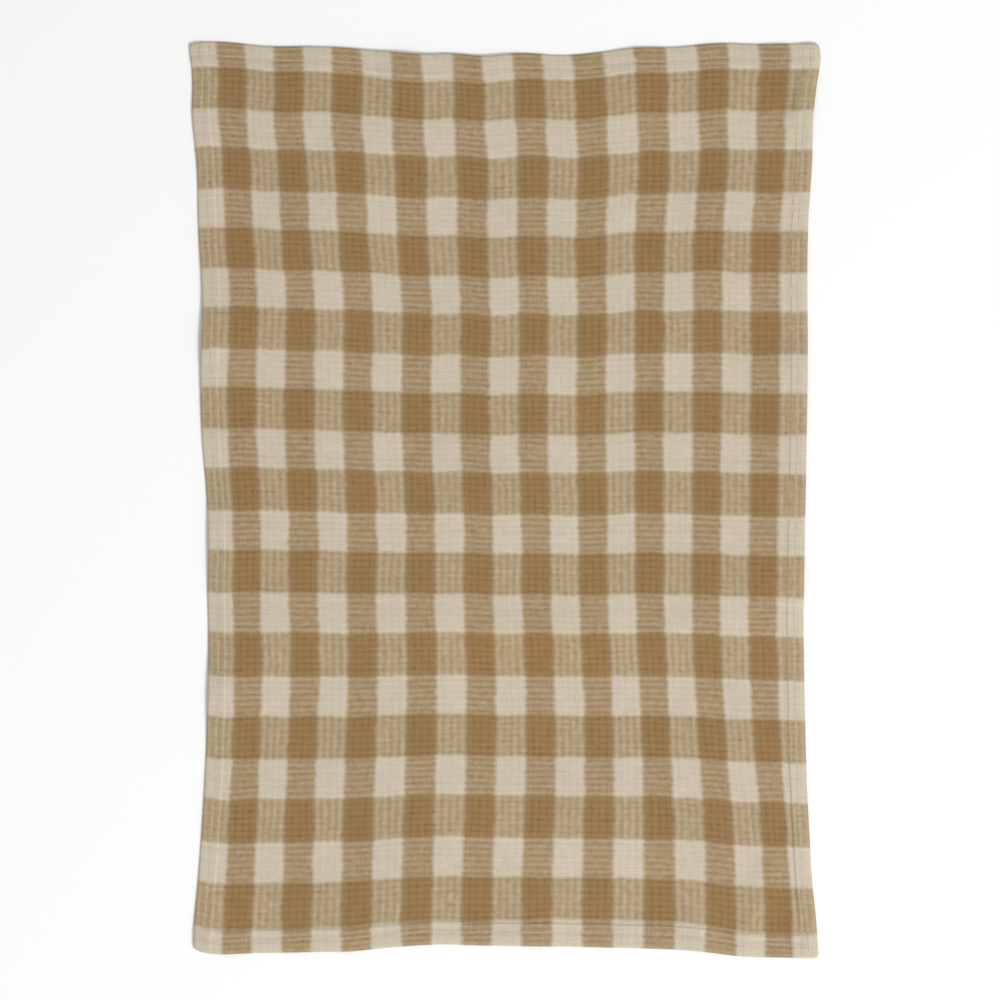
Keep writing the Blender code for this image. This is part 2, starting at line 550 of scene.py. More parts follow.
@dataclass
class Towel:
    """The cloth's mesh: a fine grid in front, a coarser one behind, and the folds that join them."""

    cloth: Cloth
    fold_rings: int = 5
    bake_margin: float = 6.0
    front_share: float = 0.62

    def __post_init__(self) -> None:
        """Sets out the grid, with two lines to each cell of the weave."""
        self.columns = 2 * self.cloth.weave.cells_across + 1
        self.rows = 2 * self.cloth.weave.cells_down + 1
        self.step_tops = np.zeros((self.rows, self.columns), bool)
        self.step_feet = np.zeros((self.rows, self.columns), bool)

    def grid_places(self) -> tuple[Array, Array]:
        """Places across and down of the grid's points, row by row.

        The two lines nearest the inner edge of each hem are moved to the top and the foot of its step, and
        noted, so that the step is crisp.

        Returns:
            The places across and the places down.
        """
        cloth, inset = self.cloth, self.cloth.fold_round
        across, down = np.meshgrid(
            np.linspace(inset, cloth.width - inset, self.columns),
            np.linspace(inset, cloth.length - inset, self.rows),
        )
        spots = cloth.place(across.ravel(), down.ravel())
        side, end = spots.side.reshape(across.shape), spots.end.reshape(across.shape)
        for way in (1, -1):
            tops, feet = self.step_tops[:, ::way], self.step_feet[:, ::way]
            self.draw_to_step(across[:, ::way], side[:, ::way], cloth.side_hem, way, tops, feet)
            tops, feet = self.step_tops[::way].T, self.step_feet[::way].T
            self.draw_to_step(down[::way].T, end[::way].T, cloth.end_hem, way, tops, feet)
        return across.ravel(), down.ravel()

    def draw_to_step(
        self, places: Array, depths: Array, hem: float, way: int, tops: Array, feet: Array
    ) -> None:
        """Moves one point of each row to the top of a hem's step and the next to its foot.

        Args:
            places: The points' places along their rows, which start at the hem's fold. Changed in place.
            depths: How far in from the fold they are.
            hem: The hem's width.
            way: 1 if the places rise along the rows, -1 if they fall.
            tops: Where to note the points at the top.
            feet: Where to note those at the foot.
        """
        row, half = np.arange(len(places)), self.cloth.hem_step / 2
        last = (depths[:, : depths.shape[1] // 2] < hem).sum(axis=1) - 1
        places[row, last] += way * (hem - half - depths[row, last])
        places[row, last + 1] += way * (hem + half - depths[row, last + 1])
        tops[row, last] = True
        feet[row, last + 1] = True

    def border(self) -> Array:
        """Numbers of the grid's border points, anticlockwise as seen from above.

        Returns:
            The numbers, from the top left corner on.
        """
        wide, tall = self.columns, self.rows
        left = np.arange(tall - 1) * wide
        bottom = (tall - 1) * wide + np.arange(wide - 1)
        right = (tall - np.arange(tall - 1)) * wide - 1
        top = wide - 1 - np.arange(wide - 1)
        return np.concatenate([left, bottom, right, top])

    def fold_places(self, across: Array, down: Array) -> list[tuple[Array, Array, float]]:
        """The rings of points round the outer fold, from the front to the back.

        Args:
            across: Places across of the border's points.
            down: Places down of the border's points.

        Returns:
            For each ring its places across and down, and its height as a share from the back to the front.
        """
        inset, cloth = self.cloth.fold_round, self.cloth
        outward_x = np.where(across <= inset, -1.0, np.where(across >= cloth.width - inset, 1.0, 0.0))
        outward_y = np.where(down <= inset, -1.0, np.where(down >= cloth.length - inset, 1.0, 0.0))
        rings = []
        for ring in range(1, self.fold_rings + 1):
            turn = math.pi * ring / (self.fold_rings + 1)
            out = inset * math.sin(turn)
            rings.append((across + out * outward_x, down + out * outward_y, (1 + math.cos(turn)) / 2))
        return rings

    def front_faces(self) -> list[tuple[int, ...]]:
        """The front's squares, each starting at a crossing or a pit so that it folds along its diagonal.

        Returns:
            The faces, turned upwards.
        """
        wide = self.columns
        faces = []
        for row in range(self.rows - 1):
            for column in range(wide - 1):
                a = row * wide + column
                square = (a, a + wide, a + wide + 1, a + 1)
                turn = (row + column) % 2
                faces.append(square[turn:] + square[:turn])
        return faces

    def back_faces(self, first: int) -> list[tuple[int, ...]]:
        """The back's triangles: four to each cell, which meet in its pit, and small ones along the border.

        Args:
            first: The number of the back's first point.

        Returns:
            The faces, turned downwards.
        """
        wide, tall = self.columns, self.rows
        faces = []

        def number(column: int, row: int) -> int:
            """The number of one of the back's points."""
            return first + row * wide + column

        for row in range(tall - 1):
            for column in range(wide - 1):
                if 0 < row < tall - 2 and 0 < column < wide - 2:
                    continue
                a, b = number(column, row), number(column + 1, row)
                c, d = number(column + 1, row + 1), number(column, row + 1)
                faces += [(a, b, c), (a, c, d)] if (row + column) % 2 == 0 else [(b, c, d), (b, d, a)]
        for row in range(2, tall - 2, 2):
            for column in range(2, wide - 2, 2):
                faces += self.back_cell(number, column, row)
        return faces

    def back_cell(
        self, number: Callable[[int, int], int], column: int, row: int
    ) -> list[tuple[int, ...]]:
        """One cell of the back, round the pit at this column and row.

        Args:
            number: Gives the number of the back's point at a column and a row.
            column: The pit's column.
            row: The pit's row.

        Returns:
            The cell's triangles, turned downwards.
        """
        corners = [(column - 1, row - 1), (column + 1, row - 1), (column + 1, row + 1), (column - 1, row + 1)]
        faces = []
        for side in range(4):
            (x0, y0), (x1, y1) = corners[side], corners[(side + 1) % 4]
            middle = ((x0 + x1) // 2, (y0 + y1) // 2)
            at_border = middle[0] in (1, self.columns - 2) or middle[1] in (1, self.rows - 2)
            stops = [(x0, y0), middle, (x1, y1)] if at_border else [(x0, y0), (x1, y1)]
            for start, end in zip(stops, stops[1:]):
                faces.append((number(*start), number(*end), number(column, row)))
        return faces

    def fold_faces(self, rings: list[Array]) -> list[tuple[int, ...]]:
        """Strips of squares between neighbouring rings of points.

        Args:
            rings: The numbers of each ring's points, from the front to the back.

        Returns:
            The faces, turned outwards.
        """
        faces = []
        for upper, lower in zip(rings, rings[1:]):
            for i in range(len(upper)):
                j = (i + 1) % len(upper)
                faces.append((upper[i], lower[i], lower[j], upper[j]))
        return faces

    def build(self) -> bpy.types.Object:
        """Makes the cloth.

        Returns:
            The towel's mesh object, with its threads and its baking map stored on it.
        """
        cloth = self.cloth
        spots = cloth.place(*self.grid_places())
        front, back = cloth.surface(spots, Face.FRONT), cloth.surface(spots, Face.BACK)
        count, border = len(front), self.border()
        points, places, faces = [front], [(spots, Face.FRONT)], self.front_faces()
        rings, next_number = [border], count
        for ring_across, ring_down, level in self.fold_places(spots.across[border], spots.down[border]):
            ring = cloth.place(ring_across, ring_down)
            z = back[border, 2] + (front[border, 2] - back[border, 2]) * level
            points.append(np.column_stack([ring.x, ring.y, z]))
            places.append((ring, Face.FRONT))
            rings.append(next_number + np.arange(len(border)))
            next_number += len(border)
        rings.append(next_number + border)
        points.append(back)
        places.append((spots, Face.BACK))
        faces += self.fold_faces(rings) + self.back_faces(next_number)
        mesh = self.make_mesh(np.vstack(points), faces)
        self.mark_steps(mesh)
        self.store_threads(mesh, places)
        self.store_bake_map(mesh, places, next_number)
        towel = bpy.data.objects.new("towel_cloth", mesh)
        bpy.context.scene.collection.objects.link(towel)
        return towel

    def mark_steps(self, mesh: bpy.types.Mesh) -> None:
        """Makes the edges at the top and the foot of the hems' steps sharp.

        Args:
            mesh: The cloth's mesh.
        """
        ends = np.empty(2 * len(mesh.edges), np.int32)
        mesh.edges.foreach_get("vertices", ends)
        ends = ends.reshape(-1, 2)
        sharp = np.zeros(len(ends), bool)
        for line in (self.step_tops, self.step_feet):
            on_line = np.zeros(len(mesh.vertices), bool)
            on_line[: line.size] = line.ravel()
            sharp |= on_line[ends].all(axis=1)
        marks = mesh.attributes.new("sharp_edge", "BOOLEAN", "EDGE")
        marks.data.foreach_set("value", sharp)

    def make_mesh(self, points: Array, faces: list[tuple[int, ...]]) -> bpy.types.Mesh:
        """A smooth mesh from points in millimetres, moved to where the frame has the towel.

        Args:
            points: The points, in millimetres from the towel's middle.
            faces: The numbers of each face's points.

        Returns:
            The mesh, in metres.
        """
        place = points * MM + np.array((*self.cloth.middle, 0.0))
        mesh = bpy.data.meshes.new("towel_cloth")
        mesh.from_pydata(place.tolist(), [], [tuple(int(n) for n in face) for face in faces])
        mesh.update()
        mesh.shade_smooth()
        return mesh

    def store_threads(self, mesh: bpy.types.Mesh, places: list[tuple[Spots, Face]]) -> None:
        """Stores what the finish reads at each point.

        That is its place in cells of the weave with the face it is on, and how far in from the edges it is.

        Args:
            mesh: The cloth's mesh.
            places: The points' places in the mesh's order, with the face that each group is on.
        """
        threads, margins = [], []
        for spots, face in places:
            turned = np.full(len(spots.x), face.value)
            threads.append(np.column_stack([*self.cloth.cells(spots.across, spots.down), turned]))
            margins.append(np.column_stack([spots.side, spots.end, turned]))
        for name, rows in (("threads", threads), ("margins", margins)):
            stored = mesh.attributes.new(name, "FLOAT_VECTOR", "POINT")
            stored.data.foreach_set("vector", np.vstack(rows).astype(np.float32).ravel())

    def store_bake_map(
        self, mesh: bpy.types.Mesh, places: list[tuple[Spots, Face]], first_back: int
    ) -> None:
        """Lays the front with its folds on the left of a map and the back on its right.

        Args:
            mesh: The cloth's mesh.
            places: The points' places in the mesh's order, with the face that each group is on.
            first_back: The number of the back's first point.
        """
        margin, cloth = self.bake_margin, self.cloth
        at = np.vstack([np.column_stack([spots.across, spots.down]) for spots, _ in places])
        wide, tall = cloth.width + 2 * margin, cloth.length + 2 * margin
        at = (at + margin) / (wide, tall)
        on_back = np.arange(len(at)) >= first_back
        across, down = at.T
        u = np.where(on_back, self.front_share + across * (1 - self.front_share), across * self.front_share)
        spots = np.column_stack([u, 1 - down])
        layer = mesh.uv_layers.new(name="OFBake")
        corners = np.empty(len(mesh.loops), np.int32)
        mesh.loops.foreach_get("vertex_index", corners)
        layer.uv.foreach_set("vector", spots[corners].astype(np.float32).ravel())


@dataclass
class HemSewing:
    """The lockstitches that hold the four hems, on both faces of the cloth."""

    cloth: Cloth
    pitch: float = 3.3
    length: float = 2.9
    thread: float = 0.7
    flatness: float = 0.4
    arch: float = 0.14
    proud: float = 0.06
    dip: float = 0.6
    ridge_lift: float = 0.7
    end_gap: float = 4.0
    waver: float = 0.35
    waver_length: float = 90.0
    sides: int = 6
    rings: int = 5

    def lines(self) -> list[tuple[Array, Array]]:
        """Places across and down of the stitches' ends, one pair of arrays to each hem.

        Returns:
            Each hem's places across and its places down.
        """
        cloth = self.cloth
        found = []
        for fixed, inward, length, upright in (
            (cloth.side_seam, 1.0, cloth.length, True),
            (cloth.width - cloth.side_seam, -1.0, cloth.length, True),
            (cloth.end_seam, 1.0, cloth.width, False),
            (cloth.length - cloth.end_seam, -1.0, cloth.width, False),
        ):
            count = int((length - 2 * self.end_gap) / self.pitch)
            along = self.end_gap + np.arange(count + 1) * self.pitch
            unsteady = Drift(self.waver_length, self.waver, seed=int(fixed))
            still = fixed + unsteady.at(along, np.zeros_like(along))
            spots = cloth.place(*((still, along) if upright else (along, still)))
            depth, wanted = (spots.side, cloth.side_seam) if upright else (spots.end, cloth.end_seam)
            still = still + inward * (wanted - depth)
            found.append((still, along) if upright else (along, still))
        return found

    def one_stitch(self) -> tuple[Array, list[tuple[int, ...]]]:
        """A stitch from end to end along X, one unit long and one across.

        Returns:
            The points, and the numbers of each face's points.
        """
        points, faces = [], []
        for ring in range(self.rings):
            share = (ring + 0.5) / self.rings
            girth = math.sqrt(math.sin(math.pi * share))
            for corner in range(self.sides):
                turn = math.tau * corner / self.sides
                points.append((share, girth * math.cos(turn) / 2, girth * math.sin(turn) / 2))
        for ring in range(self.rings - 1):
            for corner in range(self.sides):
                a, b = ring * self.sides + corner, ring * self.sides + (corner + 1) % self.sides
                faces.append((a, b, b + self.sides, a + self.sides))
        faces.append(tuple(reversed(range(self.sides))))
        faces.append(tuple(range((self.rings - 1) * self.sides, self.rings * self.sides)))
        return np.array(points), faces

    def laid(self, starts: Array, ends: Array, up: float) -> Array:
        """Lays a stitch between each pair of points.

        Args:
            starts: Where each stitch goes in, in millimetres.
            ends: Where it comes out.
            up: 1 on the front and -1 on the back.

        Returns:
            The points of all the stitches, one after another.
        """
        shape, _ = self.one_stitch()
        run = ends - starts
        run /= np.linalg.norm(run, axis=1, keepdims=True)
        side = np.cross((0.0, 0.0, 1.0), run)
        side /= np.linalg.norm(side, axis=1, keepdims=True)
        rise = np.cross(run, side)
        middle = (starts + ends) / 2
        arch = (np.sin(math.pi * shape[:, 0]) - self.dip) * self.arch
        along = (shape[:, 0] - 0.5) * self.length
        points = middle[:, None] + run[:, None] * along[None, :, None]
        points = points + side[:, None] * (shape[:, 1] * self.thread)[None, :, None]
        height = shape[:, 2] * self.thread * self.flatness + up * arch
        return (points + rise[:, None] * height[None, :, None]).reshape(-1, 3)

    def build(self) -> bpy.types.Object:
        """Makes every stitch of the hems as one joined mesh.

        Returns:
            The sewing's mesh object.
        """
        shape, pattern = self.one_stitch()
        points = []
        for across, down in self.lines():
            for face, up in ((Face.FRONT, 1.0), (Face.BACK, -1.0)):
                at = self.surface_line(across, down, face)
                points.append(self.laid(at[:-1], at[1:], up))
        placed = np.vstack(points) * MM + np.array((*self.cloth.middle, 0.0))
        placed[:, 2] = np.maximum(placed[:, 2], 0.0)
        count = len(placed) // len(shape)
        faces = [tuple(k * len(shape) + n for n in face) for k in range(count) for face in pattern]
        mesh = bpy.data.meshes.new("hem_sewing")
        mesh.from_pydata(placed.tolist(), [], faces)
        mesh.update()
        mesh.shade_smooth()
        sewing = bpy.data.objects.new("hem_sewing", mesh)
        bpy.context.scene.collection.objects.link(sewing)
        log.info("%d stitches", count)
        return sewing

    def surface_line(self, across: Array, down: Array, face: Face) -> Array:
        """A line of sewing on one face, lying over the cells' ridges and not down in their pits.

        Args:
            across: Places across the cloth, in millimetres.
            down: Places down the cloth, in millimetres.
            face: The face.

        Returns:
            A row of X, Y and Z for each place, in millimetres.
        """
        spots = self.cloth.place(across, down)
        at, relief = self.cloth.surface(spots, face), self.cloth.relief(spots, face)
        lift = self.ridge_lift * relief + self.proud
        at[:, 2] += lift if face is Face.FRONT else -lift
        return at


class Signal:
    """A shader socket that takes part in arithmetic: each expression on it adds the Math nodes it needs."""

    def __init__(self, shader: "Shader", socket: bpy.types.NodeSocket) -> None:
        """Wraps one output socket of a shader's nodes."""
        self.shader = shader
        self.socket = socket

    def __add__(self, other: "Signal | float") -> "Signal":
        """Self plus other."""
        return self.shader.maths("ADD", self, other)

    def __radd__(self, other: float) -> "Signal":
        """Other plus self."""
        return self.shader.maths("ADD", other, self)

    def __sub__(self, other: "Signal | float") -> "Signal":
        """Self less other."""
        return self.shader.maths("SUBTRACT", self, other)

    def __rsub__(self, other: float) -> "Signal":
        """Other less self."""
        return self.shader.maths("SUBTRACT", other, self)

    def __mul__(self, other: "Signal | float") -> "Signal":
        """Self times other."""
        return self.shader.maths("MULTIPLY", self, other)

    def __rmul__(self, other: float) -> "Signal":
        """Other times self."""
        return self.shader.maths("MULTIPLY", other, self)

    def __truediv__(self, other: "Signal | float") -> "Signal":
        """Self over other."""
        return self.shader.maths("DIVIDE", self, other)

    def __rtruediv__(self, other: float) -> "Signal":
        """Other over self."""
        return self.shader.maths("DIVIDE", other, self)

    def __pow__(self, other: "Signal | float") -> "Signal":
        """Self to a power."""
        return self.shader.maths("POWER", self, other)

    def __rpow__(self, other: float) -> "Signal":
        """Other to the power of self."""
        return self.shader.maths("POWER", other, self)

    def __abs__(self) -> "Signal":
        """Self without its sign."""
        return self.shader.maths("ABSOLUTE", self)

    def fraction(self) -> "Signal":
        """What is left over whole numbers."""
        return self.shader.maths("FRACT", self)

    def whole(self) -> "Signal":
        """The whole number below."""
        return self.shader.maths("FLOOR", self)

    def larger(self, other: "Signal | float") -> "Signal":
        """The larger of the two."""
        return self.shader.maths("MAXIMUM", self, other)

    def held(self) -> "Signal":
        """Self kept between 0 and 1."""
        return self.shader.maths("ADD", self, 0.0, clamp=True)


class Shader:
    """A material's node tree, built from expressions."""

    def __init__(self, name: str) -> None:
        """Starts a material with one Principled shader.

        Args:
            name: The material's name.
        """
        self.material = bpy.data.materials.new(name)
        self.material.use_nodes = True
        self.nodes = self.material.node_tree.nodes
        self.links = self.material.node_tree.links
        self.surface = self.nodes["Principled BSDF"]

    def plug(self, target: bpy.types.NodeSocket, value: Any) -> None:
        """Links a signal into a socket, or sets a plain value on it.

        Args:
            target: The socket.
            value: The signal or the value.
        """
        if isinstance(value, Signal):
            self.links.new(value.socket, target)
        else:
            target.default_value = value

    def node(self, kind: str, settings: dict[str, Any], sockets: dict[Any, Any]) -> bpy.types.Node:
        """Adds a node.

        Args:
            kind: The node's type, without the word that all shader nodes' types start with.
            settings: Its settings, set before its sockets.
            sockets: Values or signals for its inputs, by name or number.

        Returns:
            The node.
        """
        node = self.nodes.new(f"ShaderNode{kind}")
        for name, value in settings.items():
            setattr(node, name, value)
        for name, value in sockets.items():
            self.plug(node.inputs[name], value)
        return node

    def maths(self, operation: str, *values: Signal | float, clamp: bool = False) -> Signal:
        """One Math node on up to three values."""
        node = self.node("Math", {"operation": operation, "use_clamp": clamp}, dict(enumerate(values)))
        return Signal(self, node.outputs[0])

    def vector(self, x: Signal | float, y: Signal | float, z: Signal | float = 0.0) -> Signal:
        """Three values as one vector."""
        node = self.node("CombineXYZ", {}, {0: x, 1: y, 2: z})
        return Signal(self, node.outputs[0])

    def mixed(self, share: Signal | float, first: Any, second: Any, blend: str = "MIX") -> Signal:
        """Mixes two colours, each a signal or a plain colour.

        Args:
            share: How much of the second shows.
            first: The first colour.
            second: The second colour.
            blend: How the second is laid on the first.

        Returns:
            The mixed colour.
        """
        first, second = (
            (*colour, 1.0) if isinstance(colour, tuple) and len(colour) == 3 else colour
            for colour in (first, second)
        )
        node = self.node(
            "Mix", {"data_type": "RGBA", "blend_type": blend}, {"Factor": share, 6: first, 7: second}
        )
        return Signal(self, node.outputs[2])

    def grey(self, value: Signal) -> Signal:
        """A value as a grey colour."""
        node = self.node("CombineColor", {}, {0: value, 1: value, 2: value})
        return Signal(self, node.outputs[0])

    def noise(self, place: Signal, scale: float, detail: float = 2.0) -> Signal:
        """Soft noise round 0.5."""
        node = self.node("TexNoise", {}, {"Vector": place, "Scale": scale, "Detail": detail})
        return Signal(self, node.outputs[0])

    def chance(self, place: Signal) -> Signal:
        """A chance value from 0 to 1 for each whole place."""
        node = self.node("TexWhiteNoise", {"noise_dimensions": "3D"}, {"Vector": place})
        return Signal(self, node.outputs[0])

    def set_plain(self, values: dict[str, float]) -> None:
        """Sets numbers that are the same all over on the shader's own sockets."""
        for name, value in values.items():
            self.surface.inputs[name].default_value = value


@dataclass(frozen=True)
class Grain:
    """A noise laid on the weave: how fast it changes each way, a number that makes it differ, its detail."""

    across: float
    down: float
    seed: float = 0.0
    scale: float = 1.0
    detail: float = 2.0

    def on(self, shader: Shader, across: Signal, down: Signal) -> Signal:
        """The noise round 0.5 at places in cells."""
        place = shader.vector(across * self.across, down * self.down, self.seed)
        return shader.noise(place, self.scale, self.detail)


@dataclass(frozen=True)
class CheckedCotton:
    """Tan and cream cotton in a waffle weave, where both sets of threads show in every check."""

    cloth: Cloth
    tan: Colour = (0.316, 0.192, 0.081)
    cream: Colour = (0.606, 0.526, 0.416)
    upright_yarns: float = 6.0
    level_yarns: float = 5.0
    edge_softness: float = 0.55
    edge_stray: float = 0.5
    tan_upright_share: float = 0.70
    cream_upright_share: float = 0.47
    ridge_share: float = 0.11
    uneven_share: float = 0.55
    bleed: float = 0.13
    # Painted shade: how dark the furrows and the pits are painted.
    furrow_painted_shade: float = 0.035
    tan_furrow_painted_shade: float = 0.11
    pit_painted_shade: float = 0.06
    deep_pit_painted_shade: float = 0.05
    # Painted shade along the furrows of the side and end seams.
    side_seam_painted_shade: float = 0.04
    end_seam_painted_shade: float = 0.05
    wear_shade: float = 0.14
    level_slubs: float = 0.20
    upright_slubs: float = 0.12
    roughness: float = 0.92
    sheen: float = 0.04
    sheen_roughness: float = 0.6
    specular: float = 0.15
    # Painted bounce light: yellower, darker tints that stand in for light passed between crossing tan and
    # cream threads.
    cream_bounce_light: Colour = (1.01, 0.99, 0.895)
    tan_bounce_light: Colour = (0.985, 0.95, 0.845)
    greener: Colour = (0.975, 1.01, 0.97)
    warmer: Colour = (1.02, 0.993, 1.025)
    patch_from: float = 0.3
    patch_slope: float = 2.5
    streak_tint: Colour = (1.07, 1.01, 0.95)
    streak_place: tuple[float, float] = (43.7, 101.0)
    streak_reach: tuple[float, float] = (16.0, 4.5)
    ridge_from: float = 0.26
    ridge_slope: float = 5.0
    over_under: float = 0.14
    upright_furrow_slope: float = 3.4
    level_furrow_slope: float = 3.0
    upright_furrow_weight: float = 1.6
    level_furrow_weight: float = 2.4
    pit_narrowness: float = 0.8
    pit_slope: float = 3.2
    # Which chance cells get darker painted shade in their pits, and how sharply.
    deep_pit_from: float = 0.8
    deep_pit_slope: float = 5.0
    deep_pit_seed: float = 5.0
    end_seam_slope: float = 0.8
    side_seam_slope: float = 0.9
    yarn_unevenness: float = 0.08
    slub_unevenness: float = 0.3
    slub_scale: float = 0.8
    yarn_apart: float = 3.7
    yarn_strength: float = 0.55
    yarn_height: float = 0.00022
    fuzz: float = 0.8
    lengthwise_stray: Grain = Grain(0.5, 0.9, seed=3.0)
    crosswise_stray: Grain = Grain(0.9, 0.5, seed=8.0)
    streaks: Grain = Grain(1.0, 0.45, seed=11.0, scale=2.4)
    bars: Grain = Grain(0.45, 1.0, seed=12.0, scale=2.4)
    upright_furrow_grain: Grain = Grain(1.0, 0.5, seed=41.0)
    level_furrow_grain: Grain = Grain(0.4, 1.0, seed=42.0)
    level_slub_grain: Grain = Grain(0.3, 3.1, seed=51.0)
    upright_slub_grain: Grain = Grain(3.3, 0.35, seed=52.0)
    wear_grain: Grain = Grain(0.07, 0.055, detail=3.0)
    patch_grain: Grain = Grain(0.19, 0.16, seed=30.0, detail=1.0)
    fuzz_grain: Grain = Grain(1.0, 1.0, scale=9.0, detail=3.0)

    def tan_share(self, place: Signal, first: float, tan: float, cream: float) -> Signal:
        """Whether threads are tan.

        Args:
            place: The threads' place, in cells.
            first: Where the first tan stripe starts.
            tan: The width of a tan stripe.
            cream: The width of a cream one.

        Returns:
            1 on tan threads and 0 on cream ones, with a narrow soft edge.
        """
        repeat = tan + cream
        offset = ((place - (first + tan / 2)) / repeat + 0.5).fraction() - 0.5
        return ((tan / 2 - abs(offset) * repeat) / self.edge_softness + 0.5).held()

    def material(self) -> bpy.types.Material:
        """Builds the finish.

        Returns:
            The material.
        """
        shader = Shader("checked_cotton")
        threads = shader.node("Attribute", {"attribute_name": "threads"}, {})
        split = shader.node("SeparateXYZ", {}, {0: Signal(shader, threads.outputs["Vector"])})
        across, down, turned = (Signal(shader, split.outputs[k]) for k in range(3))
        weave = self.cloth.weave
        stray = self.lengthwise_stray.on(shader, across, down) - 0.5
        lengthwise_tan = self.tan_share(
            across + stray * self.edge_stray, weave.side_stripe, weave.stripe, weave.stripe
        )
        stray = self.crosswise_stray.on(shader, across, down) - 0.5
        crosswise_tan = self.tan_share(
            down + stray * self.edge_stray, weave.end_band, weave.tan_band, weave.cream_band
        )
        dx = abs((across + turned).fraction() - 0.5)
        dy = abs((down + turned).fraction() - 0.5)
        upright = self.upright_on_top(shader, across, down, dx, dy, lengthwise_tan)
        upright_colour = self.thread_colour(shader, lengthwise_tan, across * self.upright_yarns, down, 1.0)
        level_colour = self.thread_colour(shader, crosswise_tan, down * self.level_yarns, across, 2.0)
        showing = upright * (1 - 2 * self.bleed) + self.bleed
        colour = shader.mixed(showing, level_colour, upright_colour)
        # Painted bounce light: where tan and cream threads cross, the colour takes a yellower, darker tint.
        bounce_light = shader.mixed(lengthwise_tan, self.cream_bounce_light, self.tan_bounce_light)
        bounce_light = shader.mixed(abs(lengthwise_tan - crosswise_tan), WHITE, bounce_light)
        colour = shader.mixed(1.0, colour, bounce_light, "MULTIPLY")
        # Painted shade of the furrows, pits and seam furrows, with slubs and wear, darkens the colour.
        shade = self.painted_shade_and_wear(shader, across, down, dx, dy, lengthwise_tan.larger(crosswise_tan))
        shade = shade * self.seam_painted_shade(shader)
        colour = shader.mixed(1.0, colour, shader.grey(shade), "MULTIPLY")
        shader.plug(shader.surface.inputs["Base Color"], self.tinted(shader, colour, across, down))
        self.add_yarns(shader, across, down, upright)
        shader.set_plain({
            "Roughness": self.roughness,
            "Specular IOR Level": self.specular,
            "Sheen Weight": self.sheen,
            "Sheen Roughness": self.sheen_roughness,
        })
        return shader.material

    def upright_on_top(
        self, shader: Shader, across: Signal, down: Signal, dx: Signal, dy: Signal, is_tan: Signal
    ) -> Signal:
        """How much of the lengthwise threads shows: more on upright ridges, less on level ones.

        Args:
            shader: The shader to build in.
            across: Places in cells across.
            down: Places in cells down.
            dx: Distance from the middle of the cell, across.
            dy: Distance from the middle of the cell, down.
            is_tan: 1 where the lengthwise threads are tan, 0 where they are cream.

        Returns:
            Their share from 0 to 1, uneven from place to place.
        """
        upright_ridge = ((dx - self.ridge_from) * self.ridge_slope).held()
        level_ridge = ((dy - self.ridge_from) * self.ridge_slope).held()
        streaks = self.streaks.on(shader, across, down)
        bars = self.bars.on(shader, across, down)
        parity = ((across * self.upright_yarns).whole() + (down * self.level_yarns).whole()) * 0.5
        over_under = parity.fraction() * 4.0 - 1.0
        share = self.cream_upright_share + is_tan * (self.tan_upright_share - self.cream_upright_share)
        share = share + (upright_ridge - level_ridge) * self.ridge_share
        return (share + (streaks - bars) * self.uneven_share + over_under * self.over_under).held()

    def thread_colour(
        self, shader: Shader, is_tan: Signal, yarn: Signal, along: Signal, seed: float
    ) -> Signal:
        """The colour of one set of threads, uneven from yarn to yarn and along each yarn.

        Args:
            shader: The shader to build in.
            is_tan: 1 where the threads are tan, 0 where they are cream.
            yarn: Places across the threads, counted in yarns.
            along: Places along the threads, in cells.
            seed: A number that makes the two sets differ.

        Returns:
            The colour.
        """
        plain = shader.mixed(is_tan, self.cream, self.tan)
        each = shader.chance(shader.vector(yarn.whole(), seed)) - 0.5
        slub = shader.noise(shader.vector(yarn.whole() * self.yarn_apart, along, seed), self.slub_scale) - 0.5
        uneven = 1.0 + each * self.yarn_unevenness + slub * self.slub_unevenness
        return shader.mixed(1.0, plain, shader.grey(uneven), "MULTIPLY")

    def painted_shade_and_wear(
        self, shader: Shader, across: Signal, down: Signal, dx: Signal, dy: Signal, coloured: Signal
    ) -> Signal:
        """Painted shade in the furrows between the ridges and in their pits, with the yarns' slubs and faint
        wear over the whole cloth.

        Args:
            shader: The shader to build in.
            across: Places in cells across.
            down: Places in cells down.
            dx: Distance from the middle of the cell, across.
            dy: Distance from the middle of the cell, down.
            coloured: 1 where a set of threads is tan, 0 where both are cream.

        Returns:
            What to multiply the colour by.
        """
        # Painted shade along the furrows between the ridges, uneven along each one.
        upright_uneven = self.upright_furrow_grain.on(shader, across.whole(), down)
        level_uneven = self.level_furrow_grain.on(shader, across, down.whole())
        upright_furrow = (1.0 - dx * self.upright_furrow_slope).held() * upright_uneven
        level_furrow = (1.0 - dy * self.level_furrow_slope).held() * level_uneven
        furrow = upright_furrow * self.upright_furrow_weight + level_furrow * self.level_furrow_weight
        # Painted shade in each pit, deeper where a set of threads is tan.
        pit = (1.0 - (dx * self.pit_narrowness).larger(dy) * self.pit_slope).held()
        # Painted shade: a few chance cells have darker, deeper-looking pits.
        cell = shader.chance(shader.vector(across.whole(), down.whole(), self.deep_pit_seed))
        deep_pit = ((cell - self.deep_pit_from) * self.deep_pit_slope).held()
        depth = coloured * (cell * self.pit_painted_shade * 2.0 + deep_pit * self.deep_pit_painted_shade)
        furrow_depth = self.furrow_painted_shade + coloured * (self.tan_furrow_painted_shade - self.furrow_painted_shade)
        shade = furrow * furrow_depth + pit * depth
        level_slub = self.level_slub_grain.on(shader, across, down) - 0.5
        upright_slub = self.upright_slub_grain.on(shader, across, down) - 0.5
        slubs = level_slub * self.level_slubs + upright_slub * self.upright_slubs
        wear = self.wear_grain.on(shader, across, down) - 0.5
        return (1.0 - shade) * (1.0 + wear * self.wear_shade + slubs)

